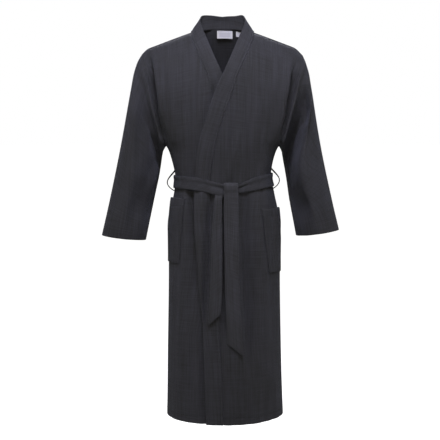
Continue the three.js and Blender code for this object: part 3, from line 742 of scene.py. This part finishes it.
def sleeve_grid(side, shape, first, last):
    """Rings of a sleeve between two shares of its length."""
    t = rows_between(first * SLEEVE_LENGTH, last * SLEEVE_LENGTH)[:, None] / SLEEVE_LENGTH
    starts_at_seam = first < 0.01
    if starts_at_seam:
        t = np.concatenate([t[:1], t[:1], t[:1], t[:1] + np.array(((0.002,), (0.0045,))), t[1:]])
    under = 0 * t
    if starts_at_seam:
        under[:2, 0] = (1, 0.5)
    angle = np.linspace(0, 2 * math.pi, 96, endpoint=False)[None]
    top_x, top_z = along(shape["outer"], t)
    low_x, low_z = along(shape["inner"], t)
    mix = (1 + np.cos(angle)) / 2 + 0 * t
    mix = 0.5 + (mix - 0.5) * (1 - 0.025 * under)
    front = np.sin(angle) >= 0
    oval = lerp(*SLEEVE_DEPTH, t) * sleeve_profile(mix, t, side, front)
    arm_x = side * lerp(ARM_LOW, TIP[0], mix)
    arm_z = lerp(ARMPIT, shape["outer"][0][1], mix)
    hole = np.where(front, front_depth(arm_x, arm_z), back_depth(arm_x, arm_z))
    depth = lerp(hole, oval, smooth(0, 0.32, t))
    crest = curve(SLEEVE_CREST[side], t)
    bend = np.where(front & (side > 0), np.clip(1 - mix / crest, 0, 1), (1 - mix) ** 1.4)
    turned = SLEEVE_TURN[side] * bend * smooth(0.02, 0.2, t) * (1 - 0.5 * smooth(0.55, 0.95, t))
    wall = smooth(crest + 0.02, crest - 0.14, mix) * smooth(0.05, 0.3, t) * smooth(0.92, 0.55, t)
    if side > 0:
        turned = turned + np.where(front, PLEAT * wall * smooth(0.0, 0.1, mix), 0)
    y = np.where(front, -depth, depth) + turned
    way = unit(np.array((TIP[1] - ARMPIT, ARM_LOW - TIP[0]))) * UNDER_SEAM
    x = lerp(low_x, top_x, mix) - way[0] * under
    grid = stack(side * x, y, lerp(low_z, top_z, mix) - way[1] * under)
    grid, mix, front = (part[:, ::-side] for part in (grid, mix, front))
    folds = [fold_field(mix, t, SLEEVE_FOLDS[key]) for key in (side, -side)]
    hollow = hump(t, 0.028, 0.022) * np.sin(math.pi * mix) ** 0.6
    sag = smooth(0.05, 0.4, t) * smooth(0.8, 0.5, t) * smooth(0.0, 0.25, mix) * smooth(0.8, 0.4, mix)
    lift = SLEEVE_FOLD * np.where(front, *folds) - np.where(front, *SLEEVE_HOLLOW) * hollow
    lift = lift - np.where(front, SLEEVE_SAG[side], SLEEVE_SAG_BACK) * sag
    lift = lift + 1.4 * ripple(mix * 160, t * 550, 31 + side, 90, 260)
    edge = smooth(0.0, 0.08, mix) * smooth(1.0, 0.94, mix)
    lift = lift * edge * smooth(0, 0.015, t)
    ends = smooth(0, 0.09, mix) * smooth(0.96, 0.76, mix)
    lift = lift - SEAM_DIP * hump(t * SLEEVE_LENGTH, 0, 4.0) * ends
    return displaced(grid, lift, wrap=True)


# ---- pockets ----
def pocket_grid(shape, side, low, high, thick):
    """A patch pocket on the side of the skirt, standing open at its mouth."""
    z = rows_between(low, high, 3.5)[:, None]
    s = np.linspace(0, 1, 27)[None]
    t = np.clip((z - shape["low"]) / (shape["high"] - shape["low"]), 0, 1)
    inner = lerp(shape["in_low"], shape["in_high"], t)
    across = np.sin(s * math.pi / 2)
    edge = half_width(z) + side * drift(z)
    x = side * lerp(inner, edge, across)
    grid = front_surface(side, x, z + 0 * s)[:, ::side]
    s = s[:, ::side]
    gape = POCKET_GAPE * t**1.4 * np.sin(math.pi * s**0.8) ** 0.8
    off = CLOTH / 2 + CLOTH - thick / 2 + 1.0 + gape + 0.9 * t * ripple(s * 60, z, 41 + side, 40, 90)
    base = displaced(grid, front_folds(grid[..., 0], grid[..., 2]))
    return displaced(base, off)


# ---- belt ----
def belt_grid():
    """The belt around the waist, drawn together and creased where it enters the knot."""
    angle = np.linspace(0, 2 * math.pi, 260, endpoint=False)[None]
    up = np.array((-0.5, -0.46, -0.4, -0.32, -0.22, -0.1, 0.02, 0.14, 0.24, 0.33, 0.41, 0.46, 0.5))[:, None]
    s = np.sin(angle)
    c = np.cos(angle)
    front = c > 0
    guess = 150 * signed(s, 2 / SIDE_POWER)
    knot = np.where(front, hump(guess, 25, 45), 0)
    wide = BELT_WIDE * (1 - 0.42 * knot * (guess > 25) - 0.1 * knot * (guess <= 25))
    dip = np.where(front, BELT_DIP * hump(guess, 15, 75), 0)
    z = BELT_HIGH - dip + 3.5 * guess / 150 + up * wide
    width = half_width(z)
    deep = np.where(front, curve(BODY, z, 2), curve(BODY, z, 3))
    x = width * signed(s, 2 / SIDE_POWER)
    y = -deep * signed(c, 2 / DEPTH_POWER)
    across = signed(x / width, SIDE_POWER - 1) / width
    n = unit(stack(across, signed(y / deep, DEPTH_POWER - 1) / deep, 0 * z))
    near = np.where(front, 1 - smooth(100, 148, np.abs(x)), 0)
    crease = np.where(front, hump(guess, 20, 62), 0) + 0.25
    upper = 1.8 * hump(up, 0.36, 0.12) - 2.8 * hump(up, 0.1, 0.1)
    lower = 1.2 * hump(up, -0.36, 0.13)
    off = lerp(BELT_OFF[1], BELT_OFF[0], near) + crease * (upper + lower)
    over_tail = np.where(front, hump(guess, -12, 24), 0) * smooth(0.3, -0.35, up)
    off = off + BELT_OVER_TAIL * over_tail + 0.5 * ripple(guess, up * 40, 51, 50, 60)
    return stack(x + drift(z), y, z) + n * off[..., None]


def knot_grid():
    """The wrap of the knot: a strip that folds over the belt from behind."""
    low, high = box_mm("belt_knot")
    middle = (low + high) / 2
    half = (high - low) / 2 - BELT_CLOTH / 2
    turn = np.linspace(0, 2 * math.pi, 72, endpoint=False)[None]
    s = np.array((0, 0.03, 0.08, 0.16, 0.28, 0.42, 0.56, 0.7, 0.82, 0.91, 0.96, 1.0))[:, None]
    pinch = 1 - 0.07 * hump(turn, 0.2, 0.5)
    x = middle[0] + (s - 0.5) * (high[0] - low[0] - BELT_CLOTH) * pinch
    y = middle[1] - half[1] * signed(np.cos(turn), 0.6)
    return stack(x, y, middle[2] + half[2] * signed(np.sin(turn), 0.7))


def tail_grid(shape):
    """One end of the belt: a doubled strip with a slanted tip, pressed along its middle."""
    top = shape["left"][0][0]
    roll_high, roll_deep = shape["roll"]
    s = np.linspace(0, 1, 15)[None]
    t = np.linspace(0, 1, int((top - min(shape["tip"])) / TAIL_STEP))[:, None]
    z = lerp(lerp(*shape["tip"], s), top, t)
    x = lerp(curve(shape["left"], z), curve(shape["right"], z), s)
    sway = 1.2 * ripple(x * 0.4, z, shape["seed"], 300, 260) * smooth(690, 600, z)
    rolled = roll_deep * (1 - np.sqrt(1 - smooth(top - roll_high, top, z) ** 2))
    grid = stack(x, shape["y"] + sway + (rolled - 2.2 * smooth(696, 706, z)), z)
    lift = 0.8 * np.sin(math.pi * s) ** 0.6 - 0.7 * hump(s, 0.5, 0.09) * smooth(0, 0.6, t)
    return displaced(grid, lift + 0.4 * ripple(x, z, shape["seed"] + 1, 30, 200))


# ---- belt loops and labels ----
def loop_rings(name, side):
    """A twisted cord that stands out from the side seam around the belt, sewn down at both ends."""
    low, high = box_mm(name)
    out = high[0] if side > 0 else low[0]
    t = np.linspace(0, 1, 60)
    z = lerp(high[2] - 1, low[2] + 1, t)
    foot = side * half_width(z) + drift(z)
    x = foot + (out - side * 1.3 - foot) * np.sin(math.pi * t**1.3) ** 0.75
    line = stack(x, 0 * z, z)
    flat = np.broadcast_to((0.0, 1.0, 0.0), line.shape)
    cross = np.cross(unit(np.gradient(line, axis=0)), flat)
    angle = np.linspace(0, 2 * math.pi, 12, endpoint=False)[None]
    turn = angle + 14 * math.pi * t[:, None]
    ply = 0.4 * np.abs(np.cos(1.5 * angle + 14 * t[:, None]))
    size = lerp(2.3, 1.4, smooth(0.15, 0.55, t))[:, None] + ply
    round_it = np.cos(turn)[..., None] * flat[:, None] + np.sin(turn)[..., None] * cross[:, None]
    return line[:, None] + size[..., None] * round_it


def tube(name, rings):
    """A closed tube from rings of points."""
    rows, cols = rings.shape[:2]
    ids = np.arange(rows * cols).reshape(rows, cols)
    right = np.roll(ids, -1, 1)
    sides = np.stack([ids[:-1], right[:-1], right[1:], ids[1:]], axis=-1).reshape(-1, 4)
    first = np.stack([right[0], ids[0], np.full(cols, rows * cols)], axis=-1)
    last = np.stack([ids[-1], right[-1], np.full(cols, rows * cols + 1)], axis=-1)
    points = np.concatenate([rings.reshape(-1, 3), rings[:1].mean(1), rings[-1:].mean(1)])
    u = np.concatenate([np.tile(np.linspace(0, 0.008, cols), rows), [0, 0]])
    v = np.concatenate([np.repeat(np.linspace(0, 0.08, rows), cols), [0, 0.08]])
    faces = sides.tolist() + first.tolist() + last.tolist()
    return mesh_object(name, points, faces, np.stack([u, v], 1))


def label_grid(name, tall):
    """A label that hangs from the back neckline, a little away from the cloth."""
    low, high = box_mm(name)
    x = np.linspace(low[0] + 0.5, high[0] - 0.5, 25)[None]
    down = np.linspace(LABEL_TOP, LABEL_TOP + tall, 17)[::-1][:, None]
    top = back_depth(x, neckline(x) - LABEL_TOP) - CLOTH / 2 - 2.4
    y = top + 0.22 * (down - LABEL_TOP) - 0.5 * np.sin((x - x[0, 0]) / 9)
    return stack(x, y, neckline(x) - down)


# ---- materials ----
def empty_tree(owner):
    owner.use_nodes = True
    owner.node_tree.nodes.clear()
    return owner.node_tree


def add_node(tree, kind, inputs=None, **settings):
    """A shader node. Each of its inputs is given a value or another node's output."""
    node = tree.nodes.new("ShaderNode" + kind)
    for key, value in settings.items():
        setattr(node, key, value)
    for key, value in (inputs or {}).items():
        if isinstance(value, bpy.types.NodeSocket):
            tree.links.new(value, node.inputs[key])
        else:
            node.inputs[key].default_value = value
    return node


def combine(tree, operation, a, b=0.0):
    return add_node(tree, "Math", {0: a, 1: b}, operation=operation).outputs[0]


def weighted(tree, *parts):
    """Sum of values, each times its weight."""
    total, *others = [combine(tree, "MULTIPLY", value, weight) for value, weight in parts]
    for other in others:
        total = combine(tree, "ADD", total, other)
    return total


def seen_by_camera(tree, unseen, seen):
    """One shader for the light that falls on things, and another for what the camera sees."""
    ray = add_node(tree, "LightPath").outputs["Is Camera Ray"]
    return add_node(tree, "MixShader", {"Fac": ray, 1: unseen, 2: seen}).outputs[0]


def noise(tree, source, scale, detail=3.0):
    place = add_node(tree, "Mapping", {"Vector": source, "Scale": scale}).outputs[0]
    inputs = {"Vector": place, "Scale": 1.0, "Detail": detail, "Roughness": 0.55}
    return add_node(tree, "TexNoise", inputs).outputs["Fac"]


def threads(tree, source, direction, pitch):
    """Rows of parallel threads, pitch in metres."""
    scale = 2 * math.pi / 20 / pitch
    inputs = {"Vector": source, "Scale": scale, "Distortion": 0.6, "Detail": 1.0}
    return add_node(tree, "TexWave", inputs, bands_direction=direction).outputs["Fac"]


# Tints of the darkest and the lightest threads.
COOL_WARM = ((1.0, 1.0, 0.88), (0.99, 0.98, 1.12))


def woven(name, colour, spread=0.34, pitch=0.0012, roughness=0.8, sheen=0.1, bump=0.9):
    """Plain-woven cloth with uneven, slubbed threads, soft wear and a faint sheen."""
    material = bpy.data.materials.new(name)
    tree = empty_tree(material)
    uv = add_node(tree, "UVMap").outputs[0]
    place = add_node(tree, "NewGeometry").outputs["Position"]
    weave = combine(tree, "MULTIPLY", threads(tree, uv, "X", pitch), threads(tree, uv, "Y", pitch * 1.1))
    slub_up = noise(tree, uv, (300, 9, 1))
    slub_across = noise(tree, uv, (12, 360, 1))
    streaks = noise(tree, uv, (95, 4, 1), 2.0)
    slub = weighted(tree, (slub_up, 0.46), (slub_across, 0.38), (streaks, 0.16))
    wear = noise(tree, place, (7, 7, 7), 2.0)
    grain = noise(tree, uv, (900, 900, 1), 2.0)
    ramp = add_node(tree, "ValToRGB", {"Fac": weighted(tree, (slub, 0.75), (wear, 0.25))})
    stops = zip(ramp.color_ramp.elements, (0.36, 0.64), (1 - spread, 1 + spread), COOL_WARM)
    for stop, position, share, tint in stops:
        stop.position = position
        stop.color = (*[c * share * w for c, w in zip(colour, tint)], 1)
    height = weighted(tree, (slub, 1.2), (grain, 0.25), (weave, 0.35))
    bumps = add_node(tree, "Bump", {"Height": height, "Strength": bump, "Distance": 0.0009})
    rough = add_node(tree, "MapRange", {"Value": slub, "From Min": 0.3, "From Max": 0.7,
                                        "To Min": roughness + 0.06, "To Max": roughness - 0.08})
    shader = add_node(tree, "BsdfPrincipled", {
        "Base Color": ramp.outputs["Color"],
        "Roughness": rough.outputs["Result"],
        "Normal": bumps.outputs["Normal"],
        "Sheen Weight": sheen,
        "Sheen Roughness": 0.45,
        "Sheen Tint": (0.62, 0.64, 0.8, 1),
        "Specular IOR Level": 0.25,
    })
    add_node(tree, "OutputMaterial", {"Surface": shader.outputs[0]})
    return material


def label_material(name, ground, field, size):
    """A woven satin label: a pale ground with a plain darker field inside its border."""
    material = woven(name, ground, 0.06, 0.0007, 0.6, 0.2, 0.25)
    tree = material.node_tree
    split = add_node(tree, "SeparateXYZ", {0: add_node(tree, "UVMap").outputs[0]})
    inside = []
    for axis, extent, share in zip("XY", size, (0.36, 0.30)):
        half = extent * MM / 2
        away = combine(tree, "ABSOLUTE", combine(tree, "SUBTRACT", split.outputs[axis], half))
        inside.append(combine(tree, "LESS_THAN", away, half * 2 * share))
    amount = combine(tree, "MULTIPLY", combine(tree, "MULTIPLY", *inside), 0.8)
    shader = next(n for n in tree.nodes if n.type == "BSDF_PRINCIPLED")
    base = shader.inputs["Base Color"]
    mix = add_node(tree, "Mix", {"Factor": amount, "A": base.links[0].from_socket, "B": (*field, 1)},
                   data_type="RGBA")
    tree.links.new(mix.outputs["Result"], base)
    return material


CLOTH_COLOUR = (0.030, 0.0297, 0.0303)
LABEL_COLOUR = (0.66, 0.65, 0.66)


def cloth_colour_times(share):
    return tuple(share * c for c in CLOTH_COLOUR)


# Each look is a material and the slot that it fills.
ROBE_LOOK = (woven("robe_cloth", CLOTH_COLOUR), "robe_cloth")
BAND_LOOK = (woven("band_cloth", cloth_colour_times(1.05)), "band_cloth")
BELT_LOOK = (woven("belt_cloth", CLOTH_COLOUR), "belt_cloth")
# The belt's tails share the belt's cloth and slot, made 1.28 times lighter: painted light for the light they
# catch hanging forward.
TAIL_PAINTED_LIGHT_LOOK = (woven("belt_tail_cloth", cloth_colour_times(1.28)), "belt_cloth")
THREAD_LOOK = (woven("loop_thread", cloth_colour_times(0.6), 0.2, 0.0006, 0.8, 0.05, 0.3), "loop_thread")
# Each label: the colour of its field, its size, its thickness and the length that hangs.
LABELS = {
    "main_label": ((0.52, 0.51, 0.54), (48, 23), 1.0, 22.5),
    "size_label": ((0.54, 0.53, 0.56), (15, 15), 0.9, 14.5),
}


# ---- assembly ----
def frame_point(x, z):
    return (x * MM, 0, (z - SEAT) * MM)


sewn_on = {}
SKIRT_BEND = ("robe", "front_skirt", frame_point(0, 440), frame_point(0, 120))
SLEEVE_BEND = 200  # from the armhole to the far point of a sleeve's bend
TAIL_BEND = (frame_point(0, 692), frame_point(0, 630))


def sleeve_bend(side):
    """Names and two points for a sleeve's bend, from the armhole seam outwards."""
    middle = np.array(((ARM_LOW + TIP[0]) / 2, (ARMPIT + TIP[1]) / 2))
    end = middle + unit(np.array((TIP[1] - ARMPIT, ARM_LOW - TIP[0]))) * SLEEVE_BEND
    name = "left_sleeve" if side > 0 else "right_sleeve"
    return ("robe", name, *(frame_point(side * x, z) for x, z in (middle, end)))


def dress(obj, look, nodes=(), bend=None, on=None):
    """Gives a piece its material and hides the nodes it stands for; without a bend it joins the robe's body.

    A hem or a line of stitches is also noted under the sheet that it is sewn on."""
    material, slot = look
    obj.data.materials.append(material)
    if nodes:
        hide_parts(*nodes)
    if bend:
        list(bend)
        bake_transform(obj)
    else:
        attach(obj, "robe")
    if on:
        sewn_on.setdefault(on, []).append(obj)


def add_cloth(name, grid, thick, look, bend=None, on=None, skirt=False, **form):
    """A piece of cloth in place of the node of its name, and of the same cloth's skirt if it has one."""
    nodes = [name, name + "_skirt"] if skirt else [name]
    dress(skin(name + "_cloth", grid, thick, **form), look, nodes, bend, on)


def add_stitches(name, on, *lines, bend=None):
    dress(stitching(name + "_stitches", *lines), THREAD_LOOK, bend=bend, on=on)


def build_panel(name, grid_between, bend=None):
    """A panel from its hem up, its turned-up hem, and the stitches along the hem's upper edge."""
    cloth = grid_between(HEM + CLOTH / 2 - 0.4, TIP[1])
    add_cloth(name, cloth, CLOTH, ROBE_LOOK, bend, skirt=bend is not None, upright=True)
    hem_name = "hem_" + name.removesuffix("_panel")
    hem = grid_between(HEM_CLOTH / 2, HEM - 0.6)
    hem = displaced(hem, 0 * hem[..., 0] - FLUSH)
    add_cloth(hem_name, hem, HEM_CLOTH, ROBE_LOOK, bend, name, upright=True)
    add_stitches(hem_name, name, outer_line(hem, HEM_CLOTH, row=-1), bend=bend)


def build_band(name, side, bend=None):
    grid = band_grid(side, SEAT, BAND_CLOTH / 2)
    add_cloth(name, grid, BAND_CLOTH, BAND_LOOK, bend, skirt=side > 0)
    add_stitches(name, name, outer_line(grid, BAND_CLOTH, col=-5 if side > 0 else 4), bend=bend)


def build_sleeve(word, side, shape):
    name = "sleeve_" + word
    bend = sleeve_bend(side)
    cut = cuff_start(shape)
    cuff = sleeve_grid(side, shape, cut, 0.992)
    middle = cuff.mean(axis=1, keepdims=True)
    cuff = middle + (cuff - middle) * CUFF_INSIDE
    add_cloth(name, sleeve_grid(side, shape, 0.002, 1.0), CLOTH, ROBE_LOOK, bend, wrap=True)
    add_cloth("cuff_hem_" + word, cuff, CUFF_CLOTH, ROBE_LOOK, bend, name, wrap=True)
    outside = sleeve_grid(side, shape, cut, 1.0)
    add_stitches("cuff_" + word, name, outer_line(outside, CLOTH, row=1, wrap=True), bend=bend)


def build_pocket(word, side, shape):
    name = "pocket_" + word
    edge = shape["high"] - POCKET_HEM
    bag = pocket_grid(shape, side, shape["low"] + 1, edge - 1, CLOTH)
    hem = pocket_grid(shape, side, edge + 0.2, shape["high"] - 1.5, HEM_CLOTH)
    add_cloth(name, bag, CLOTH, ROBE_LOOK)
    add_cloth("pocket_hem_" + word, hem, HEM_CLOTH, ROBE_LOOK, on=name)
    add_stitches(name, name, outer_line(bag, CLOTH, row=1),
                 outer_line(bag, CLOTH, col=-3 if side < 0 else 2), outer_line(hem, HEM_CLOTH, row=1))


def build_belt():
    add_cloth("belt_waist", belt_grid(), BELT_CLOTH, BELT_LOOK, wrap=True)
    add_cloth("belt_knot", knot_grid(), BELT_CLOTH, BELT_LOOK, wrap=True)
    for word, shape in TAILS.items():
        bend = ("robe", word + "_tail", *TAIL_BEND)
        name = "belt_tail_" + word
        grid = tail_grid(shape)
        add_cloth(name, grid, BELT_CLOTH, TAIL_PAINTED_LIGHT_LOOK, bend)
        lines = [outer_line(grid, BELT_CLOTH, **line) for line in ({"col": 1}, {"col": -2}, {"row": 2})]
        add_stitches(name + "_cloth", name, *lines, bend=bend)


def build_label(name, field, size, thick, tall):
    grid = label_grid(name, tall)
    add_cloth(name, grid, thick, (label_material(name, LABEL_COLOUR, field, size), "label_cloth"))
    add_stitches(name, name, outer_line(grid, thick, row=-2))


# ---- studio ----
LENS = 108.52
SENSOR = 36.0
CAMERA = ((-0.00775, -4.1, -0.267), (-0.00775, 0, -0.5765))
# Each light: place, target, size, watts, colour.
LIGHTS = {
    "top": ((0, -1.2, 1.15), (0, 0, -0.3), (1.0, 0.5), 41, (0.79, 0.80, 1.0)),
    "front": ((0, -2.3, 0.1), (0, 0, -0.35), (1.0, 0.8), 10, (1.0, 0.97, 0.86)),
    "side_left": ((-2.5, -0.4, 0.4), (0, 0, -0.35), (0.8, 1.6), 12, (1.0, 0.99, 0.97)),
    "side_right": ((2.5, -0.4, 0.4), (0, 0, -0.35), (0.8, 1.6), 12, (1.0, 0.99, 0.97)),
    "rear": ((0, 2.4, 1.6), (0, 0, -0.4), (1.4, 0.8), 75, (0.9, 0.92, 1.0)),
}
ROOM_COLOUR = (1.0, 0.96, 0.72, 1)
ROOM_STRENGTH = 0.1


def aim(obj, place, target):
    obj.location = place
    obj.rotation_euler = (Vector(target) - Vector(place)).to_track_quat("-Z", "Y").to_euler()


def build_camera():
    lens = bpy.data.cameras.new("camera")
    lens.lens = LENS
    lens.sensor_width = SENSOR
    camera = add_object("camera", lens)
    aim(camera, *CAMERA)
    bpy.context.scene.camera = camera


def build_light(name, place, target, size, power, colour):
    data = bpy.data.lights.new(name, "AREA")
    data.shape = "RECTANGLE"
    data.size, data.size_y = size
    data.energy = power
    data.color = colour
    aim(add_object(name, data), place, target)


def build_floor():
    """A wide floor under the hem, seen as plain white."""
    z = cad_low.z - FLOOR_DROP
    corners = [(x * FLOOR_HALF, y * FLOOR_HALF, z) for x, y in ((-1, -1), (1, -1), (1, 1), (-1, 1))]
    mesh = bpy.data.meshes.new("floor")
    mesh.from_pydata(corners, [], [(0, 1, 2, 3)])
    floor = add_object("floor", mesh)
    material = bpy.data.materials.new("floor")
    tree = empty_tree(material)
    shader = add_node(tree, "BsdfPrincipled", {"Base Color": (0.5, 0.5, 0.5, 1), "Roughness": 0.9})
    glow = add_node(tree, "Emission", {"Strength": 1.0})
    both = add_node(tree, "AddShader", {0: shader.outputs[0], 1: glow.outputs[0]})
    add_node(tree, "OutputMaterial", {"Surface": seen_by_camera(tree, shader.outputs[0], both.outputs[0])})
    floor.data.materials.append(material)


def build_world():
    """White where the camera sees it, and a faint warm light on the cloth."""
    world = bpy.data.worlds.new("studio")
    bpy.context.scene.world = world
    tree = empty_tree(world)
    seen = add_node(tree, "Background", {"Color": (1, 1, 1, 1), "Strength": 1.0})
    lit = add_node(tree, "Background", {"Color": ROOM_COLOUR, "Strength": ROOM_STRENGTH})
    add_node(tree, "OutputWorld", {"Surface": seen_by_camera(tree, lit.outputs[0], seen.outputs[0])})
    bpy.context.scene.view_settings.view_transform = "Standard"


build_panel("front_right", lambda low, high: front_grid(-1, low, high))
build_panel("front_left", lambda low, high: front_grid(1, low, high), SKIRT_BEND)
build_panel("back_panel", back_grid)
build_band("front_band_right", -1)
build_band("front_band_left", 1, SKIRT_BEND)
add_cloth("collar_back", collar_grid(), BAND_CLOTH, BAND_LOOK)
build_sleeve("right", -1, SLEEVE_RIGHT)
build_sleeve("left", 1, SLEEVE_LEFT)
build_pocket("left", 1, POCKET_LEFT)
build_pocket("right", -1, POCKET_RIGHT)
build_belt()
for name, side in (("belt_loop_left", 1), ("belt_loop_right", -1)):
    dress(tube(name + "_thread", loop_rings(name, side)), THREAD_LOOK, [name])
for name, facts in LABELS.items():
    build_label(name, *facts)
for name, (width, length, area, held, hangs_from) in CUTS.items():
    tuple(other + "_cloth" for other in hangs_from)
    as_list(sewn_on.get(name, []))
build_floor()
build_camera()
for name, facts in LIGHTS.items():
    build_light(name, *facts)
build_world()
